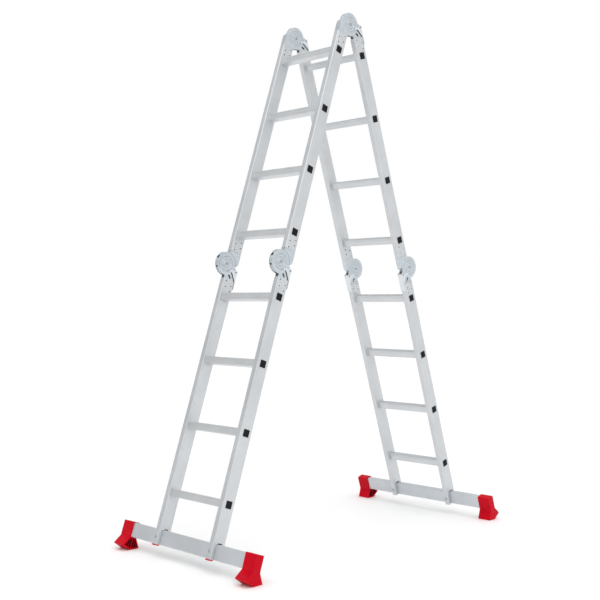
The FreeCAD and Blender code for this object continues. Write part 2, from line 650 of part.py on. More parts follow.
for line, (toothed_section, cheek_section) in HINGE_LINES.items():
    nodes.append(bound_group(f"{line}_toothed_plates",
                             [make_toothed_plate(line, toothed_section, side) for side in SIDES]))
    nodes.append(bound_group(f"{line}_cheek_plates",
                             [make_cheek(line, cheek_section, side, face)
                              for side in SIDES for face in (1, -1)]))
    nodes.append(group(f"{line}_lever_springs",
                       [spring(line, cheek_section, side) for side in SIDES]))
    for side in SIDES:
        nodes.append(make_lock_pawl(line, cheek_section, side))
        nodes.append(make_lever(line, cheek_section, side))

for leg in ("front", "rear"):
    nodes.append(make_bar(leg))
    nodes.append(bound_group(f"{leg}_feet", [make_foot(leg, side) for side in SIDES]))
    nodes.append(bound_group(f"{leg}_toe_caps", [make_toe_cap(leg, side) for side in SIDES]))

doc.recompute()
failed = [item.Label for item in doc.Objects
          if {"Invalid", "Error"} & set(item.State)]
failed += [node.Label for node in nodes if node.Shape.isNull() or not node.Shape.isValid()]
if failed:
    raise RuntimeError(f"these objects failed: {failed}")

os.makedirs("parts", exist_ok=True)
for node in nodes:
    node.Shape.exportStep(f"parts/{node.Label}.step")
print(f"{len(nodes)} nodes, hinge axis {PIVOT_HEIGHT:.2f} mm above the floor")
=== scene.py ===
import json
from math import asin, atan2, cos, pi, radians, sin, tan

import bmesh
import bpy
from mathutils import Matrix, Quaternion, Vector


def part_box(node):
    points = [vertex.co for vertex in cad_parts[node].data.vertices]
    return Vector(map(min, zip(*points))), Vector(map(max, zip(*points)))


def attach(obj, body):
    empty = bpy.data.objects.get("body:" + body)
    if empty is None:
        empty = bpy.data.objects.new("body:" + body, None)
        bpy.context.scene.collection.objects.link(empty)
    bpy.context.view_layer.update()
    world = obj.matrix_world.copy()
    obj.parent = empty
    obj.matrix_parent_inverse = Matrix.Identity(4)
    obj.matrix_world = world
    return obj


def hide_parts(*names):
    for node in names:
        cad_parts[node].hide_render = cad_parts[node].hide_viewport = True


# Multi position ladder, standing as a trestle: four sections of four rungs and three lines of
# locking hinges. Lengths are in millimetres until a mesh is made, and in metres from then on.
#
# Leg frame: origin on the top hinge's axis, X across, Y towards the inside, Z up the leg.
# Hinge frame: origin on a hinge's axis in the middle of the stile, Y to the stile, Z along it.

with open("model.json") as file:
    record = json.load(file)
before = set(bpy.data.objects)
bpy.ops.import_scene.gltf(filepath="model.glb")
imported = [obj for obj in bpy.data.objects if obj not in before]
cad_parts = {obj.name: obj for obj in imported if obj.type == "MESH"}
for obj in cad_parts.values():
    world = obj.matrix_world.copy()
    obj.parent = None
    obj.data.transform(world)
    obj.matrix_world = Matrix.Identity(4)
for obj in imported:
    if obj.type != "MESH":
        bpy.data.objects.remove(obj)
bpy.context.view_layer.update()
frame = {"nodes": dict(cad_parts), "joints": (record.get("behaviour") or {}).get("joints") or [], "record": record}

MM = 0.001
SECTIONS = ("front_upper", "front_lower", "rear_upper", "rear_lower")
SIDES = {"right": 1, "left": -1}
HINGE_LINES = {"front_knee": ("front_upper", "front_lower"),
               "top_hinge": ("front_upper", "rear_upper"),
               "rear_knee": ("rear_upper", "rear_lower")}      # toothed half, cheek half


# ---- the frame's own measures ---------------------------------------------------------------

axes = {joint["name"]: Vector(joint["pos_m"]) for joint in frame["joints"]}
TOP_AXIS = axes["top_hinge"]
PIVOT_OFFSET = 33                                # from a hinge axis to its stile's middle
knee_drop = axes["front_knee"] - TOP_AXIS
KNEE_STATION = (knee_drop.length_squared / MM ** 2 - (2 * PIVOT_OFFSET) ** 2) ** 0.5
LEAN = atan2(-knee_drop.y, -knee_drop.z) - atan2(2 * PIVOT_OFFSET, KNEE_STATION)
stile_low, stile_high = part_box("front_upper_right_stile")
STILE_X = (stile_low.x + stile_high.x) / 2 / MM
STILE_FACE = stile_high.x / MM                   # outside of a stile
FIRST_RUNG, RUNG_PITCH, RUNG_COUNT = 140, 280, 4


def leg_frame(section):
    turn = Matrix.Rotation(pi if section.startswith("rear") else 0, 4, "Z")
    return Matrix.Translation(TOP_AXIS) @ turn @ Matrix.Rotation(-LEAN, 4, "X")


def leg_side(section, side):
    return -SIDES[side] if section.startswith("rear") else SIDES[side]


def at(x, y, z):
    return Matrix.Translation(Vector((x, y, z)) * MM)


def hinge_in_leg(line, section, side):
    """A hinge half's frame, inside the frame of its section's leg."""
    across = leg_side(section, side) * STILE_X
    if line == "top_hinge":
        return at(across, 0, 0) @ Matrix.Rotation(pi, 4, "X")
    turn = Matrix.Identity(4) if section.endswith("upper") else Matrix.Rotation(pi, 4, "Y")
    return at(across, -2 * PIVOT_OFFSET, -KNEE_STATION) @ turn


def rung_station(section, number):
    start = KNEE_STATION if section.endswith("lower") else 0
    return start + FIRST_RUNG + (number - 1) * RUNG_PITCH


# ---- materials ------------------------------------------------------------------------------

class Finish:
    """A node material under construction: a Principled shader and short calls to feed it."""

    def __init__(self, name, roughness, metallic=0.0):
        self.material = bpy.data.materials.new(name)
        self.material.use_nodes = True
        self.tree = self.material.node_tree
        self.shader = self.tree.nodes["Principled BSDF"]
        self.shader.inputs["Metallic"].default_value = metallic
        self.shader.inputs["Roughness"].default_value = roughness
        self.place = self.add("ShaderNodeTexCoord").outputs["Object"]

    def add(self, kind, inputs=(), **settings):
        node = self.tree.nodes.new(kind)
        for key, value in settings.items():
            setattr(node, key, value)
        for key, value in dict(inputs).items():
            if isinstance(value, bpy.types.NodeSocket):
                self.tree.links.new(value, node.inputs[key])
            else:
                node.inputs[key].default_value = value
        return node

    def turned(self, angle):
        """From here on, textures see the object turned about X by this angle."""
        self.place = self.add("ShaderNodeMapping", {"Vector": self.place,
                                                    "Rotation": (angle, 0, 0)}).outputs[0]

    def noise(self, scale, stretch=(1, 1, 1), detail=3.0, rough=0.55):
        vector = self.add("ShaderNodeMapping", {"Vector": self.place, "Scale": stretch}).outputs[0]
        node = self.add("ShaderNodeTexNoise", {"Vector": vector, "Scale": scale,
                                               "Detail": detail, "Roughness": rough})
        return node.outputs["Fac"]

    def cells(self, scale):
        node = self.add("ShaderNodeTexVoronoi", {"Vector": self.place, "Scale": scale})
        return self.add("ShaderNodeSeparateColor", {"Color": node.outputs["Color"]}).outputs[0]

    def span(self, value, low, high, start=0.3, end=0.7):
        """A texture's value, spread from low to high."""
        node = self.add("ShaderNodeMapRange", {"Value": value, "From Min": start,
                                               "From Max": end, "To Min": low, "To Max": high})
        return node.outputs[0]

    def sum(self, first, second):
        return self.add("ShaderNodeMath", {0: first, 1: second}, operation="ADD").outputs[0]

    def colour(self, value, dark, light):
        node = self.add("ShaderNodeMix", {"Factor": value, 6: (*dark, 1), 7: (*light, 1)},
                        data_type="RGBA")
        self.tree.links.new(node.outputs[2], self.shader.inputs["Base Color"])

    def roughness(self, value):
        self.tree.links.new(value, self.shader.inputs["Roughness"])

    def bump(self, height, depth):
        """Relief of that depth in millimetres."""
        node = self.add("ShaderNodeBump", {"Height": height, "Distance": depth * MM,
                                           "Strength": 1.0})
        self.tree.links.new(node.outputs[0], self.shader.inputs["Normal"])


def extruded_aluminium(name, stretch, turn=0.0, light=(0.655, 0.68, 0.70)):
    """Mill-finish extrusion: fine die lines along its length and soft clouds of tone."""
    finish = Finish(name, 0.36, metallic=0.7)
    if turn:
        finish.turned(turn)
    lines = finish.noise(260, stretch, detail=4.0, rough=0.6)
    clouds = finish.noise(7, detail=4.0)
    specks = finish.noise(900, detail=2.0)
    dark = tuple(0.88 * part for part in light)
    tone = finish.sum(clouds, finish.span(lines, -0.12, 0.12))
    finish.colour(finish.span(tone, 0, 1), dark, light)
    finish.roughness(finish.sum(finish.span(lines, 0.36, 0.48), finish.span(clouds, -0.03, 0.05)))
    finish.bump(finish.sum(lines, finish.span(specks, 0, 0.3)), 0.05)
    return finish.material


def zinc_plate(name, light, rough=0.3):
    """Bright zinc plating: faint bluish cells, clouds, and the grain of pressed sheet."""
    finish = Finish(name, rough, metallic=0.8)
    cells, clouds = finish.cells(210), finish.noise(24, detail=5.0)
    grain = finish.noise(1400, detail=2.0)
    dark = (0.88 * light[0], 0.90 * light[1], 0.92 * light[2])
    finish.colour(finish.sum(finish.span(cells, 0, 0.25, 0, 1), finish.span(clouds, 0, 0.75)),
                  dark, light)
    finish.roughness(finish.sum(finish.span(clouds, rough - 0.06, rough + 0.1),
                                finish.span(cells, -0.02, 0.03, 0, 1)))
    finish.bump(grain, 0.03)
    return finish.material


def moulded_plastic(name, light, dark, rough, shine=0.22, grain_depth=0.06):
    """Injection-moulded plastic: spark-eroded grain, slow flow marks, scuffed high spots."""
    finish = Finish(name, rough)
    grain, flow = finish.noise(1100, detail=2.0), finish.noise(16, (1, 1, 0.35), detail=3.0)
    scuffs = finish.noise(120, (1, 0.25, 1), detail=6.0, rough=0.7)
    finish.colour(finish.span(flow, 0, 1), dark, light)
    finish.roughness(finish.sum(finish.span(flow, rough - 0.05, rough + 0.05),
                                finish.span(scuffs, 0, 0.14, 0.55, 0.75)))
    finish.bump(finish.sum(grain, finish.span(flow, 0, 0.8)), grain_depth)
    finish.shader.inputs["Specular IOR Level"].default_value = shine
    return finish.material


ALONG_LEG, ALONG_RUNG = (1, 1, 0.012), (0.012, 1, 1)
LOOKS = {
    "front_stile": extruded_aluminium("stile_aluminium_front", ALONG_LEG, LEAN),
    "rear_stile": extruded_aluminium("stile_aluminium_rear", ALONG_LEG, -LEAN),
    "rung": extruded_aluminium("rung_aluminium", ALONG_RUNG, light=(0.68, 0.70, 0.715)),
    "bar": extruded_aluminium("bar_aluminium", ALONG_RUNG, light=(0.64, 0.67, 0.70)),
    "hinge": zinc_plate("hinge_zinc", (0.61, 0.66, 0.695)),
    # a darker copy of the hinge zinc: painted shade in the rings pressed into the cheeks' discs, and the pivots'
    # own darker zinc
    "groove": zinc_plate("dark_zinc_and_groove_shade", (0.44, 0.48, 0.51), 0.36),
    # painted light: a lighter copy of the hinge zinc for the toothed rim, lifting the shade of the gap between the
    # cheeks
    "tooth": zinc_plate("tooth_zinc_painted_light", (0.74, 0.78, 0.80), 0.4),
    "lever": zinc_plate("lever_zinc", (0.74, 0.78, 0.805), 0.3),
    "rivet": zinc_plate("rivet_zinc", (0.86, 0.88, 0.89), 0.27),
    # near black: painted shade in cut holes, notches and rivet middles, a painted shadow under each lever's edge,
    # and the lock pawls' own dark steel
    "shade_and_dark_steel": zinc_plate("recess_shade_and_dark_steel", (0.02, 0.022, 0.024), 0.6),
    "spring": zinc_plate("spring_wire", (0.42, 0.43, 0.45), 0.35),
    "black": moulded_plastic("black_plastic", (0.006, 0.006, 0.007), (0.003, 0.003, 0.004), 0.6),
    # a darker copy of the red plastic: painted shade inside the feet's pocket and ribbed hollows
    "shaded_red": moulded_plastic("red_plastic_painted_shade", (0.16, 0.001, 0.008),
                                (0.10, 0.001, 0.005), 0.6),
    "red": moulded_plastic("red_plastic", (0.60, 0.0006, 0.013), (0.50, 0.0004, 0.010), 0.46,
                           shine=0.08),
}


# ---- meshes, in millimetres until finished --------------------------------------------------

def rounded(corners, steps=6):
    """An outline whose corners, each (y, z, radius), are turned into arcs."""
    points = []
    count = len(corners)
    for index, (y, z, radius) in enumerate(corners):
        here = Vector((y, z))
        if not radius:
            points.append(here)
            continue
        before = Vector(corners[index - 1][:2]) - here
        after = Vector(corners[(index + 1) % count][:2]) - here
        half = before.angle(after) / 2
        reach = min(radius / tan(half), 0.49 * before.length, 0.49 * after.length)
        true_radius = reach * tan(half)
        centre = here + (before.normalized() + after.normalized()).normalized() * (
            true_radius / sin(half))
        start = here + before.normalized() * reach - centre
        end = here + after.normalized() * reach - centre
        swing = start.angle_signed(end)
        for step in range(steps + 1):
            arm = start.copy()
            arm.rotate(Matrix.Rotation(-swing * step / steps, 2))
            points.append(centre + arm)
    return points


def arc(centre, radius, start, end, steps):
    """Points along an arc, its angles in degrees from the first axis."""
    angles = [radians(start + (end - start) * step / steps) for step in range(steps + 1)]
    return [Vector((centre[0] + radius * cos(a), centre[1] + radius * sin(a))) for a in angles]


def prism(outline, low, high):
    """A closed outline of (y, z) points, drawn out along X."""
    shape = bmesh.new()
    rings = [[shape.verts.new((x, point[0], point[1])) for point in outline] for x in (low, high)]
    shape.faces.new(rings[0])
    shape.faces.new(rings[1])
    for index in range(len(outline)):
        following = (index + 1) % len(outline)
        shape.faces.new((rings[0][index], rings[0][following], rings[1][following],
                         rings[1][index]))
    bmesh.ops.recalc_face_normals(shape, faces=shape.faces)
    return shape


def square(half, radius):
    """The corners of a square outline that reaches half to each side."""
    return [(-half, -half, radius), (half, -half, radius), (half, half, radius),
            (-half, half, radius)]


def brick(low, high):
    """A straight-sided solid between two corners."""
    outline = [(low[1], low[2]), (high[1], low[2]), (high[1], high[2]), (low[1], high[2])]
    return prism(outline, low[0], high[0])


def lathe(profile, steps=96):
    """A closed profile of (x, radius) points, turned about X; points on the axis have radius 0."""
    shape = bmesh.new()
    rings = []
    for x, radius in profile:
        if radius < 1e-6:
            rings.append([shape.verts.new((x, 0, 0))] * steps)
            continue
        rings.append([shape.verts.new((x, radius * cos(2 * pi * step / steps),
                                       radius * sin(2 * pi * step / steps)))
                      for step in range(steps)])
    for near, far in zip(rings, rings[1:] + rings[:1]):
        for step in range(steps):
            following = (step + 1) % steps
            corners = [near[step], near[following], far[following], far[step]]
            corners = [corner for place, corner in enumerate(corners)
                       if corner not in corners[:place]]
            if len(corners) > 2:
                shape.faces.new(corners)
    bmesh.ops.recalc_face_normals(shape, faces=shape.faces)
    return shape


def moved(shape, place):
    """The shape, moved by a matrix whose offset is in millimetres."""
    bmesh.ops.transform(shape, matrix=place, verts=shape.verts)
    if place.determinant() < 0:
        bmesh.ops.reverse_faces(shape, faces=shape.faces)
    return shape


def shift(x, y, z):
    return Matrix.Translation((x, y, z))


HERE = Matrix.Identity(4)
MIRROR = Matrix.Scale(-1, 4, (1, 0, 0))


def placed(name, data):
    """A new object in the scene that holds the data."""
    item = bpy.data.objects.new(name, data)
    bpy.context.scene.collection.objects.link(item)
    return item


def holder_of(shape, name, finishes=()):
    mesh = bpy.data.meshes.new(name)
    for finish in finishes:
        mesh.materials.append(finish)
    shape.to_mesh(mesh)
    shape.free()
    return placed(name, mesh)


def finished(name, base, joined=(), cuts=(), bevel=0.0, segments=2, split=30, look=None,
             inside=None):
    """A mesh in metres: the base with pieces joined on and cut away, and its edges rounded.

    The faces left by a cut may have a look of their own; the hinges and feet use it for painted shade in holes,
    notches and hollows.
    """
    finishes = [LOOKS[finish] for finish in (look, inside) if finish]
    target = holder_of(base, name, finishes)
    helpers = []
    for operation, shapes in (("UNION", joined), ("DIFFERENCE", cuts)):
        for shape in shapes:
            if inside and operation == "DIFFERENCE":
                for face in shape.faces:
                    face.material_index = 1
            helper = holder_of(shape, name + "_tool", finishes)
            helpers.append(helper)
            boolean = target.modifiers.new(operation, "BOOLEAN")
            boolean.operation, boolean.solver, boolean.object = operation, "EXACT", helper
    if bevel:
        rounding = target.modifiers.new("edges", "BEVEL")
        rounding.width, rounding.segments = bevel, segments
        rounding.limit_method, rounding.angle_limit = "ANGLE", radians(split)
        rounding.harden_normals = True
        rounding.use_clamp_overlap = True
    graph = bpy.context.evaluated_depsgraph_get()
    graph.update()
    mesh = bpy.data.meshes.new_from_object(target.evaluated_get(graph))
    mesh.name = name
    for item in [target, *helpers]:
        rough = item.data
        bpy.data.objects.remove(item)
        bpy.data.meshes.remove(rough)
    mesh.transform(Matrix.Scale(MM, 4))
    mesh.shade_smooth()
    mesh.set_sharp_from_angle(angle=radians(split))
    return mesh


def merged(name, items):
    """Copies of meshes at their places, as one mesh of loose pieces that keep their finishes."""
    shape = bmesh.new()
    finishes = []
    for mesh, place in items:
        copy = mesh.copy()
        copy.transform(place)
        if place.determinant() < 0:
            copy.flip_normals()
        kept = list(mesh.materials)
        finishes += [material for material in kept if material not in finishes]
        if kept:
            numbers = [finishes.index(kept[polygon.material_index]) for polygon in copy.polygons]
            copy.polygons.foreach_set("material_index", numbers)
        shape.from_mesh(copy)
        bpy.data.meshes.remove(copy)
    result = bpy.data.meshes.new(name)
    shape.to_mesh(result)
    shape.free()
    for material in finishes:
        result.materials.append(material)
    return result


def evened(mesh):
    """The mesh with its normals weighted by area, so that its broad faces look flat."""
    holder = placed(mesh.name, mesh)
    weighting = holder.modifiers.new("even", "WEIGHTED_NORMAL")
    weighting.keep_sharp = True
    graph = bpy.context.evaluated_depsgraph_get()
    graph.update()
    result = bpy.data.meshes.new_from_object(holder.evaluated_get(graph))
    result.name = mesh.name
    bpy.data.objects.remove(holder)
    return result


def gathered(name, mesh, places):
    return evened(merged(name, [(mesh, place) for place in places]))


def piece(node, mesh, place, look):
    """A finished piece that stands for a CAD node and rides on the node's own body."""
    item = placed(f"{node}_detailed", mesh)
    item.matrix_world = place
    if not mesh.materials:
        mesh.materials.append(LOOKS[look])
    body = next(name for name, nodes in frame["record"]["behaviour"]["bodies"].items()
                if node in nodes)
    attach(item, body)
    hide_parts(node)
    return item


def paint(node, look):
    """Gives a CAD node that keeps its own shape its finish."""
    mesh = frame["nodes"][node].data
    mesh.materials.clear()
    mesh.materials.append(LOOKS[look])


# ---- camera, light and floor ----------------------------------------------------------------

CAMERA_ANGLES = (44.305, -0.136, 0.158)           # azimuth, elevation and roll, in degrees
CAMERA_SPOT = (2.9788, -3.1815, TOP_AXIS.z - 1.2060)
LENS, SENSOR = 58.621, 36
FLOOR_RADIUS, FLOOR_DROP = 60, 0.0005
SUNS = {"overhead": ((0.5, -1.0, 4.0), 1.1, 70),  # towards the light, strength, angle it fills
        "key": ((3.1, -1.45, 2.6), 0.42, 35)}


def set_camera():
    azimuth, elevation, roll = (radians(angle) for angle in CAMERA_ANGLES)
    back = Vector((sin(azimuth) * cos(elevation), -cos(azimuth) * cos(elevation), sin(elevation)))
    data = bpy.data.cameras.new("camera")
    data.lens, data.sensor_width = LENS, SENSOR
    data.clip_end = 200
    camera = placed("camera", data)
    camera.location = CAMERA_SPOT
    camera.rotation_mode = "QUATERNION"
    camera.rotation_quaternion = (-back).to_track_quat("-Z", "Y") @ Quaternion((0, 0, 1), roll)
    bpy.context.scene.camera = camera


def set_light():
    bpy.context.scene.view_settings.view_transform = "Standard"
    world = bpy.data.worlds.new("studio")
    world.use_nodes = True
    nodes, links = world.node_tree.nodes, world.node_tree.links
    background = nodes["Background"]
    background.inputs["Strength"].default_value = 0.80
    seen = nodes.new("ShaderNodeBackground")
    seen.inputs["Strength"].default_value = 1.0
    seen.inputs["Color"].default_value = (1, 1, 1, 1)
    direction = nodes.new("ShaderNodeTexCoord")
    split = nodes.new("ShaderNodeSeparateXYZ")
    links.new(direction.outputs["Generated"], split.inputs[0])
    slope = nodes.new("ShaderNodeMath")
    slope.operation = "ADD"
    links.new(split.outputs["X"], slope.inputs[0])
    links.new(split.outputs["Y"], slope.inputs[1])
    tone = nodes.new("ShaderNodeMapRange")
    links.new(slope.outputs[0], tone.inputs["Value"])
    for key, value in {"From Min": -1.3, "From Max": 1.3, "To Min": 0.76, "To Max": 1.12}.items():
        tone.inputs[key].default_value = value
    links.new(tone.outputs[0], background.inputs["Color"])
    rays = nodes.new("ShaderNodeLightPath")
    mix = nodes.new("ShaderNodeMixShader")
    links.new(rays.outputs["Is Camera Ray"], mix.inputs[0])
    links.new(background.outputs[0], mix.inputs[1])
    links.new(seen.outputs[0], mix.inputs[2])
    links.new(mix.outputs[0], nodes["World Output"].inputs["Surface"])
    bpy.context.scene.world = world

    for name, (spot, energy, angle) in SUNS.items():
        data = bpy.data.lights.new(name, "SUN")
        data.energy, data.angle = energy, radians(angle)
        sun = placed(name, data)
        sun.rotation_mode = "QUATERNION"
        sun.rotation_quaternion = (-Vector(spot)).to_track_quat("-Z", "Y")


def set_floor():
    shape = bmesh.new()
    bmesh.ops.create_circle(shape, cap_ends=True, segments=96, radius=FLOOR_RADIUS)
    mesh = bpy.data.meshes.new("floor")
    shape.to_mesh(mesh)
    shape.free()
    finish = Finish("pale_floor", 0.6)
    finish.colour(finish.noise(3), (0.93, 0.93, 0.93), (0.95, 0.95, 0.95))
    mesh.materials.append(finish.material)
    floor = placed("floor", mesh)
    floor.location.z = -FLOOR_DROP


# ---- rungs and plugs ------------------------------------------------------------------------

RUNG_SIZE, RUNG_WALL, RUNG_ROUND = 30, 1.8, 2
RIB_PITCH, RIB_HEIGHT, RIB_COUNT, RIB_FOOT, RIB_TIP = 3.4, 0.8, 7, 1.1, 0.7
GROOVE = ((0, 6.9, 0), (0.8, 7.3, 0.2), (0.8, 8.3, 0.2), (0, 8.7, 0))      # depth, z, radius
COLLAR_SIZE, COLLAR_THICK, COLLAR_ROUND = 38, 3, 6
INNER_FACE = STILE_FACE - 25                      # inside of a stile


def rung_mesh():
    """A square tube with a ribbed tread, a line down each side and a swaged collar at each end."""
    half = RUNG_SIZE / 2
    end = STILE_FACE - 0.5
    top = []
    for rib in range(RIB_COUNT):
        middle = (rib - (RIB_COUNT - 1) / 2) * RIB_PITCH
        top += [(middle - RIB_FOOT, half, 0), (middle - RIB_TIP, half + RIB_HEIGHT, 0.3),
                (middle + RIB_TIP, half + RIB_HEIGHT, 0.3), (middle + RIB_FOOT, half, 0)]
    outline = [(-half, -half, RUNG_ROUND), (half, -half, RUNG_ROUND)]
    outline += [(half - depth, z, radius) for depth, z, radius in GROOVE]
    outline += [(half, half, RUNG_ROUND)] + top[::-1] + [(-half, half, RUNG_ROUND)]
    outline += [(depth - half, z, radius) for depth, z, radius in GROOVE[::-1]]
    tube = prism(rounded(outline, 3), -(INNER_FACE - 1), INNER_FACE - 1)
    ends = []
    for side in (-1, 1):
        near, far = sorted((side * (INNER_FACE - 2), side * end))
        ends.append(prism(rounded(square(half, RUNG_ROUND), 4), near, far))
        near, far = sorted((side * (INNER_FACE - COLLAR_THICK), side * (INNER_FACE - 0.05)))
        ends.append(prism(rounded(square(COLLAR_SIZE / 2, COLLAR_ROUND), 6), near, far))
    bore = half - RUNG_WALL
    hollow = brick((-end - 1, -bore, -bore), (end + 1, bore, bore))
    return evened(finished("rung", tube, joined=ends, cuts=[hollow], bevel=0.35, split=40))


PLUG_SIZE, PLUG_THICK, PLUG_NECK = 29, 2, 14
DISH_EDGE, DISH_DEPTH, BOSS_RADIUS = 4.5, 0.9, 4.2


def plug_mesh():
    """A moulded plug: a rounded square head with a dished middle and a boss, and a neck."""
    half = PLUG_SIZE / 2
    head = rounded(square(half, 3), 5)
    dish = rounded(square(half - DISH_EDGE, 2), 4)
    neck = RUNG_SIZE / 2 - RUNG_WALL - 0.2
    base = prism(head, 0, PLUG_THICK)
    stub = brick((-PLUG_NECK, -neck, -neck), (0.5, neck, neck))
    hollow = prism(dish, PLUG_THICK - DISH_DEPTH, PLUG_THICK + 1)
    rise = PLUG_THICK - 0.1
    core = lathe([(0, 0), (0, BOSS_RADIUS), (rise, BOSS_RADIUS), (rise, 0)], 32)
    shaped = finished("plug", base, joined=[stub], cuts=[hollow], bevel=0.45, segments=3,
                      look="black")
    boss = finished("plug_boss", core, bevel=0.3, look="black")
    return merged("plug", [(shaped, HERE), (boss, HERE)])


def make_rungs_and_plugs():
    rung, plug = rung_mesh(), plug_mesh()
    for section in SECTIONS:
        leg = leg_frame(section)
        plug_places = []
        for number in range(1, RUNG_COUNT + 1):
            spot = at(0, -PIVOT_OFFSET, -rung_station(section, number))
            piece(f"{section}_rung_{number}", rung, leg @ spot, "rung")
            for turn in (0, pi):
                out = Matrix.Rotation(turn, 4, "Z") @ at(STILE_FACE - 0.5, 0, 0)
                plug_places.append(spot @ out)
        plugs = gathered(f"{section}_plugs", plug, plug_places)
        piece(f"{section}_rung_plugs", plugs, leg, "black")


# ---- rivets, pivots and bolts ---------------------------------------------------------------

RIVET_SPOTS = ((17.5, 70), (48.5, 86), (17.5, 97), (48.5, 110))      # hinge frame Y and Z
DISC_FACE = 11.0                                  # outside of a cheek's pressed disc
BAR_STATION, BAR_DEPTH, BAR_THICK = 2281, 60, 25


def dome(half, head, rise, steps=10):
    """The (x, radius) points of a domed head, from its rim to its crown."""
    radius = (head ** 2 + rise ** 2) / (2 * rise)
    sweep = asin(head / radius)
    return [(half + rise - radius + radius * cos(sweep * (1 - step / steps)),
             radius * sin(sweep * (1 - step / steps))) for step in range(steps + 1)]


def pin_mesh(name, shank, half, head, rise, rim, look):
    """A pin with a domed head at each end, each on a thin rim."""
    side = [(half, head)] + [(x + rim, radius) for x, radius in dome(half, head, rise - rim)]
    profile = [(-x, radius) for x, radius in side[::-1]] + [(-half, shank), (half, shank)] + side
    return finished(name, lathe(profile, 40), split=35, look=look)


def rivet_mesh():
    """A tubular rivet: a rolled rim round a sunk middle painted near black as shade, at each end of its shank."""
    half, crown = 12.52, 13.92
    side = [(half, 5.5), (half + 0.5, 5.45), (crown - 0.25, 4.9), (crown, 4.3),
            (crown - 0.2, 3.6), (half + 0.3, 3.1)]
    profile = [(-x, radius) for x, radius in side[::-1]] + [(-half, 2.9), (half, 2.9)] + side
    profile += [(half - 2, 2.8), (2 - half, 2.8)]
    bore = [(half - 2.1, 0), (half - 2.1, 2.85), (half + 0.32, 3.12), (half + 0.62, 2.1),
            (half + 0.5, 0)]
    rim = finished("rivet_rim", lathe(profile, 40), split=35, look="rivet")
    # the sunk middle of each rivet is near black: painted shade
    core = finished("rivet_core_painted_shade", lathe(bore, 40), split=35, look="shade_and_dark_steel")
    return merged("rivet", [(rim, HERE), (core, HERE), (core, MIRROR)])


def make_fasteners():
    rivet = rivet_mesh()
    pivot = pivot_mesh()
    bolt = pin_mesh("bolt", shank=4, half=30.02, head=7, rise=4.5, rim=0.6, look="spring")
    for section in SECTIONS:
        parts = []
        for line, halves in HINGE_LINES.items():
            if section not in halves:
                continue
            for side in SIDES:
                hinge = hinge_in_leg(line, section, side)
                parts += [(rivet, hinge @ at(0, y, z)) for y, z in RIVET_SPOTS]
                if section == halves[1]:
                    parts.append((pivot, hinge))
        if section.endswith("lower"):
            quarter = Matrix.Rotation(pi / 2, 4, "Z")
            parts += [(bolt, at(x, -PIVOT_OFFSET, -BAR_STATION) @ quarter)
                      for x in (-STILE_X, STILE_X)]
        whole = evened(merged(f"{section}_rivets", parts))
        piece(f"{section}_rivets", whole, leg_frame(section), "rivet")


def pivot_mesh():
    """The hinge's rivet: a shank, and at each end a flat head with a turned ring and a dimple."""
    out = DISC_FACE
    side = [(out, 7.5), (out + 0.8, 7.5), (out + 1.3, 6.9), (out + 1.3, 5.4), (out + 0.7, 5.1),
            (out + 0.7, 4.3), (out + 1.9, 3.7), (out + 1.9, 2.0), (out + 0.9, 0)]
    profile = [(-x, radius) for x, radius in side[::-1]] + [(-out, 5), (out, 5)] + side
    return finished("pivot", lathe(profile, 64), split=25, look="groove")


# ---- hinges ---------------------------------------------------------------------------------

DISC_RADIUS, TOOTH_RADIUS, TOOTH_HALF, CHEEK_IN, CHEEK_OUT = 50, 47, 6, 6.3, 9.3
SKIRT_HALF, SKIRT_GAP = 12, 0.5
RELIEF_START, RELIEF_END, RELIEF_SLOPE = 9.6, 13, 4
TANG_HALF, TANG_NEAR, TANG_FAR, PAD_INSET, NOTCH_FLOOR, RIVET_BORE = 10.4, 6, 60, 2, 41, 3
TUBE_START, TANG_END = 62, 118
NOTCH_WIDTHS = {0: 6.8, 90: 6.8, 143.04: 14, 180: 6.8}      # by the fold each notch locks
RELEASE_ANGLE = 13
LOCK_PIN, SHAFT = Vector((28, 45)), Vector((58, 20))
HALF_OUTLINE = [(4, 2, 0), (52, 2, 3), (60, 12, 6), (61.5, 24, 8), (61.5, TUBE_START - 0.5, 0)]
TANG_OUTLINE = HALF_OUTLINE + [(TANG_FAR, TUBE_START - 0.5, 0), (TANG_FAR, TANG_END, 5),
                               (TANG_NEAR, TANG_END, 5), (TANG_NEAR, TUBE_START - 0.5, 0),
                               (4, TUBE_START - 0.5, 0)]
SKIRT_OUTLINE = HALF_OUTLINE + [(4, TUBE_START - 0.5, 0)]


def hole(y, z, radius, reach=20):
    """A round cutter along X."""
    return moved(lathe([(-reach, 0), (-reach, radius), (reach, radius), (reach, 0)], 48),
                 shift(0, y, z))


def tang_pad(low, high):
    """The packing between a tang and the stile's walls, from X = low to X = high."""
    return brick((low, TANG_NEAR + PAD_INSET, TUBE_START + PAD_INSET),
                 (high, TANG_FAR - PAD_INSET, TANG_END - PAD_INSET))


def rivet_holes():
    return [hole(y, z, RIVET_BORE) for y, z in RIVET_SPOTS]


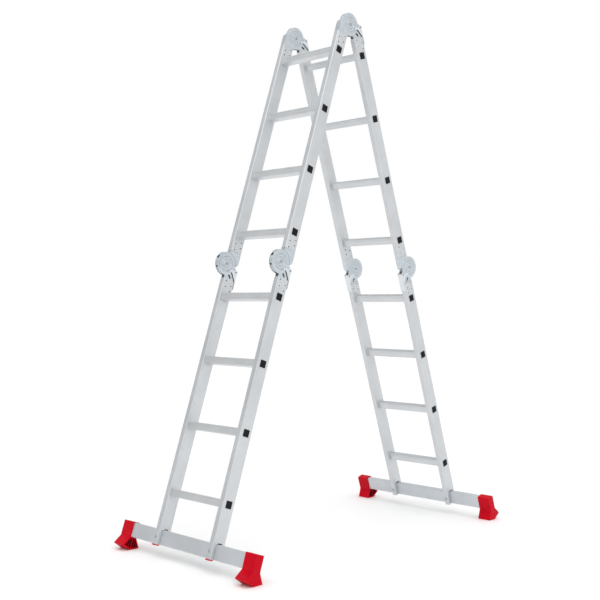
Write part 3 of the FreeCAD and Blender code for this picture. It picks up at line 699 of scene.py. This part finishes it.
def toothed_mesh():
    """The inner plate: a disc notched for the lock, on a folded tang that fills its stile."""
    disc = lathe([(-TOOTH_HALF, 5.06), (TOOTH_HALF, 5.06), (TOOTH_HALF, TOOTH_RADIUS),
                  (-TOOTH_HALF, TOOTH_RADIUS)], 128)
    skirt = prism(rounded(SKIRT_OUTLINE), -SKIRT_HALF, SKIRT_HALF)
    tang = prism(rounded(TANG_OUTLINE), -TOOTH_HALF, TOOTH_HALF)
    inside = DISC_RADIUS + SKIRT_GAP
    clear = hole(0, 0, inside)
    outside = inside + (RELIEF_END - RELIEF_START) * RELIEF_SLOPE
    reliefs = [lathe([(side * RELIEF_START, 0), (side * RELIEF_START, inside),
                      (side * RELIEF_END, outside), (side * RELIEF_END, 0)], 128)
               for side in (-1, 1)]
    body = finished("toothed", skirt, cuts=[clear, *reliefs])
    body.transform(Matrix.Scale(1 / MM, 4))
    shape = bmesh.new()
    shape.from_mesh(body)
    notches = []
    lock_angle = atan2(-LOCK_PIN.y, LOCK_PIN.x)
    for fold, width in NOTCH_WIDTHS.items():
        notch = brick((-20, NOTCH_FLOOR, -width / 2), (20, inside, width / 2))
        notches.append(moved(notch, Matrix.Rotation(lock_angle - radians(fold), 4, "X")))
    joined = [tang, disc, tang_pad(-TANG_HALF, TANG_HALF)]
    drills = rivet_holes() + [hole(0, 0, 5.06)]
    # the cut faces of the notches and holes are near black: painted shade
    mesh = finished("toothed_plate", shape, joined=joined, cuts=notches + drills, bevel=0.35,
                    look="hinge", inside="shade_and_dark_steel")
    # the toothed rim's faces get the lighter zinc: painted light against the shade between the cheeks
    mesh.materials.append(LOOKS["tooth"])
    for face in mesh.polygons:
        if not face.material_index and Vector(face.center).yz.length < (TOOTH_RADIUS + 0.1) * MM:
            face.material_index = 2
    return mesh


GROOVES = (32, 19)                                          # the rings pressed into a disc


def groove(middle):
    """The (x, radius) section of a ring pressed into the disc's face."""
    floor = DISC_FACE - 0.6
    return [(DISC_FACE, middle + 1.6), (floor, middle + 1), (floor, middle - 1),
            (DISC_FACE, middle - 1.6)]


def cheek_profile():
    """The (x, radius) section of a cheek's disc, from its inner rim to its pressed face."""
    return [(CHEEK_IN, 5.1), (CHEEK_IN, DISC_RADIUS), (CHEEK_OUT - 0.5, DISC_RADIUS),
            (CHEEK_OUT, DISC_RADIUS - 0.6), (CHEEK_OUT + 0.15, 47.4), (DISC_FACE - 0.25, 41.6),
            (DISC_FACE, 40.8), *groove(GROOVES[0]), *groove(GROOVES[1]), (DISC_FACE, 5.1)]


def lock_slot():
    """A round-ended cutter along the path of the lock pin."""
    across = SHAFT - LOCK_PIN
    tilt = atan2(across.x, -across.y) - radians(RELEASE_ANGLE / 2)
    ends = arc((11, 0), 3.6, -90, 90, 10) + arc((-2, 0), 3.6, 90, 270, 10)
    return moved(prism(ends, -20, 20),
                 shift(0, LOCK_PIN.x, LOCK_PIN.y) @ Matrix.Rotation(tilt, 4, "X"))


def cheek_mesh():
    """The outer plate: a pressed disc on a tang, slotted for the lock pin."""
    tang = prism(rounded(TANG_OUTLINE), CHEEK_IN, CHEEK_OUT)
    drills = rivet_holes() + [hole(SHAFT.x, SHAFT.y, 3.06), hole(0, 0, 5.1), lock_slot()]
    # the cut faces of the holes and the lock slot are near black: painted shade
    mesh = finished("cheek", lathe(cheek_profile(), 128),
                    joined=[tang, tang_pad(CHEEK_IN, TANG_HALF)], cuts=drills, bevel=0.3,
                    look="hinge", inside="shade_and_dark_steel")
    # the faces of the pressed rings get the darker zinc: painted shade
    mesh.materials.append(LOOKS["groove"])
    for face in mesh.polygons:
        radius = Vector(face.center).yz.length / MM
        pressed = any(abs(radius - middle) < 1.2 for middle in GROOVES)
        if not face.material_index and pressed and face.center.x > (CHEEK_OUT + 0.2) * MM:
            face.material_index = 2
    return mesh


LEVER_IN, LEVER_OUT, LEVER_EDGE, LEVER_TAIL, LEVER_WEB = 11.3, 12.9, 66, 97, 2.4
# the path and half width of the black strip that paints the shadow under each lever's edge
SHADOW_STRIP_PATH = ((22, 26), (27, 25), (36, 26), (43, 33), (59, 55), (61.5, 60))
SHADOW_STRIP_HALF = 2.2


def band(path, width, low, high):
    """A strip that wide, along a path of (y, z) points, from X = low to X = high."""
    points = [Vector(point) for point in path]
    left, right = [], []
    for index, point in enumerate(points):
        along = (points[min(index + 1, len(points) - 1)] - points[max(index - 1, 0)]).normalized()
        aside = Vector((-along.y, along.x)) * width
        left.append(point + aside)
        right.append(point - aside)
    return prism(left + right[::-1], low, high)


def lever_mesh():
    """The release lever: two hooked side plates over the cheeks, joined by a finger tail.

    A black strip follows each plate's edge, clear of the raised face of the disc: a painted shadow under the edge.
    """
    hook = [(21, 30, 1.5), (20, 25, 3), (24, 19.5, 4), (33, 17, 6), (47, 17, 8), (57, 11, 8),
            (67, 13, 4), (69, 22, 8), (LEVER_EDGE, 32, 8), (LEVER_EDGE, 61, 0), (62, 61, 2),
            (59, 56, 6), (43, 34, 8), (36, 27.5, 5), (30, 26.5, 4), (26, 30, 1.5)]
    plates = prism(rounded(hook, 5), -LEVER_OUT, LEVER_OUT)
    tail_outline = [(LEVER_EDGE - LEVER_WEB, 58), (LEVER_EDGE, 58), (LEVER_EDGE, LEVER_TAIL - 1.2)]
    tail_outline += arc((LEVER_EDGE - 1.2, LEVER_TAIL - 1.2), 1.2, 0, 180, 8)
    tail = prism(tail_outline, -LEVER_OUT, LEVER_OUT)
    inside = brick((-LEVER_IN, 0, 0), (LEVER_IN, LEVER_EDGE - LEVER_WEB, 80))
    steel = finished("lever_steel", plates, joined=[tail],
                     cuts=[inside, hole(SHAFT.x, SHAFT.y, 3.03)], bevel=0.4, look="lever")
    # a black strip under each plate's edge: a painted shadow
    strip = band(SHADOW_STRIP_PATH, SHADOW_STRIP_HALF, DISC_FACE + 0.1, LEVER_IN + 0.1)
    shadow_strip = finished("lever_shadow_strip", strip, look="shade_and_dark_steel")
    return evened(merged("lever", [(steel, HERE), (shadow_strip, HERE), (shadow_strip, MIRROR)]))


def spring_mesh():
    """A torsion spring of three turns round the lever's shaft."""
    wire, radius, turns, steps, start = 0.95, 4.6, 3, 40, 3.5
    rise = 0.98 * 0.85 * wire                     # along the shaft, in one turn
    route = []
    for step in range(turns * steps + 1):
        angle = 2 * pi * step / steps
        along = start + step / steps * rise
        route.append((along, radius * cos(angle), radius * sin(angle)))
    curve = bpy.data.curves.new("spring", "CURVE")
    curve.dimensions = "3D"
    curve.bevel_depth, curve.bevel_resolution, curve.use_fill_caps = wire / 2, 3, True
    spline = curve.splines.new("POLY")
    spline.points.add(len(route) - 1)
    for point, spot in zip(spline.points, route):
        point.co = (*spot, 1)
    holder = placed("spring", curve)
    graph = bpy.context.evaluated_depsgraph_get()
    mesh = bpy.data.meshes.new_from_object(holder.evaluated_get(graph))
    bpy.data.objects.remove(holder)
    bpy.data.curves.remove(curve)
    mesh.transform(Matrix.Scale(MM, 4) @ shift(0, SHAFT.x, SHAFT.y))
    mesh.shade_smooth()
    return mesh


def make_hinges():
    toothed, cheek, lever, spring = toothed_mesh(), cheek_mesh(), lever_mesh(), spring_mesh()
    for line, (toothed_section, cheek_section) in HINGE_LINES.items():
        spots = {part: [hinge_in_leg(line, section, side) for side in SIDES]
                 for part, section in (("toothed", toothed_section), ("cheek", cheek_section))}
        far, near = leg_frame(toothed_section), leg_frame(cheek_section)
        piece(f"{line}_toothed_plates", gathered("toothed_plates", toothed, spots["toothed"]), far,
              "hinge")
        both = [spot @ flip for spot in spots["cheek"] for flip in (HERE, MIRROR)]
        piece(f"{line}_cheek_plates", gathered("cheek_plates", cheek, both), near, "hinge")
        piece(f"{line}_lever_springs", gathered("springs", spring, spots["cheek"]), near,
              "spring")
        for side, spot in zip(SIDES, spots["cheek"]):
            piece(f"{line}_{side}_release_lever", lever, near @ spot, "lever")
            paint(f"{line}_{side}_lock_pawl", "shade_and_dark_steel")


# ---- feet and toe caps ----------------------------------------------------------------------

FOOT_IN, FOOT_OUT, FOOT_WALL, FOOT_HALF, FOOT_FLARE = 343, 406, 4, 17, 42
FOOT_TOP, FOOT_WAIST, SOLE_VERTEX, SOLE_THICK = 2249, 2312, 2363.2, 6
FOOT_ROOM, CAP_STATION = 0.3, 2311.1
CELL_STARTS, CELL_WIDTH, CELL_SHOULDER, CELL_SLOPE = (2, 13, 24), 9, 13, 1.49


def sole(aside):
    """The station of a sole's underside: two facets that fall to a ridge at the leg's lean."""
    return SOLE_VERTEX - abs(aside) * tan(LEAN)


def cell_top(aside):
    """The top of a sole's hollow, which falls away under the flare."""
    return -FOOT_WAIST - FOOT_WALL - max(0, (aside - CELL_SHOULDER) * CELL_SLOPE)


def foot_mesh():
    """A red foot for the +X end of a bar: a sleeve, a flare, ribbed hollows and a ridged sole."""
    body = prism(rounded([(-FOOT_HALF, -FOOT_TOP, 2), (-FOOT_HALF, -FOOT_WAIST, 5),
                          (-FOOT_FLARE, -sole(FOOT_FLARE), 0.8), (0, -SOLE_VERTEX, 0),
                          (FOOT_FLARE, -sole(FOOT_FLARE), 0.8), (FOOT_HALF, -FOOT_WAIST, 5),
                          (FOOT_HALF, -FOOT_TOP, 2)], 5), FOOT_IN, FOOT_OUT)
    half_thick, half_deep = BAR_THICK / 2 + FOOT_ROOM, BAR_DEPTH / 2 + FOOT_ROOM
    pocket = brick((FOOT_IN - 1, -half_thick, -BAR_STATION - half_deep),
                   (FOOT_OUT - FOOT_WALL, half_thick, -BAR_STATION + half_deep))
    cells = []
    for near in CELL_STARTS:
        far = near + CELL_WIDTH
        corners = [(near, cell_top(near), 0), (far, cell_top(far), 0),
                   (far, SOLE_THICK - sole(far), 0), (near, SOLE_THICK - sole(near), 0)]
        for side in (-1, 1):
            outline = [(side * y, z, radius) for y, z, radius in corners]
            cells.append(prism(rounded(outline), FOOT_IN - 1, FOOT_OUT - FOOT_WALL))
    # the faces of the pocket and ribbed hollows get the darker red: painted shade
    return finished("foot", body, cuts=[pocket, *cells], bevel=0.5, look="red", inside="shaded_red")


def toe_cap_mesh():
    """A cap under the outer prong of a stile's fork, its underside bowed."""
    low, high, half, thick = -31, -13.6, 13.5, 5
    bow = [(half, 0, 0), (half, -2, 0), (half - 2.5, -3.8, 2), (5, -thick, 4), (-5, -thick, 4),
           (2.5 - half, -3.8, 2), (-half, -2, 0), (-half, 0, 0)]
    cap = finished("toe_cap", prism(rounded(bow, 4), low, high), bevel=0.6, segments=3, look="red")
    cap.transform(Matrix.Rotation(pi / 2, 4, "Z"))
    return cap


def make_feet():
    foot, cap = foot_mesh(), toe_cap_mesh()
    for leg_name in ("front", "rear"):
        leg = leg_frame(leg_name)
        ends = [at(0, -PIVOT_OFFSET, 0), at(0, -PIVOT_OFFSET, 0) @ Matrix.Rotation(pi, 4, "Z")]
        piece(f"{leg_name}_feet", gathered("feet", foot, ends), leg, "red")
        spots = [at(x, -PIVOT_OFFSET, -CAP_STATION) for x in (-STILE_X, STILE_X)]
        piece(f"{leg_name}_toe_caps", gathered("toe_caps", cap, spots), leg, "red")
        paint(f"{leg_name}_stabiliser_bar", "bar")


set_camera()
set_light()
set_floor()
make_rungs_and_plugs()
make_fasteners()
make_hinges()
make_feet()
for section in SECTIONS:
    for side in SIDES:
        leg_name = section.split("_")[0]
        paint(f"{section}_{side}_stile", f"{leg_name}_stile")
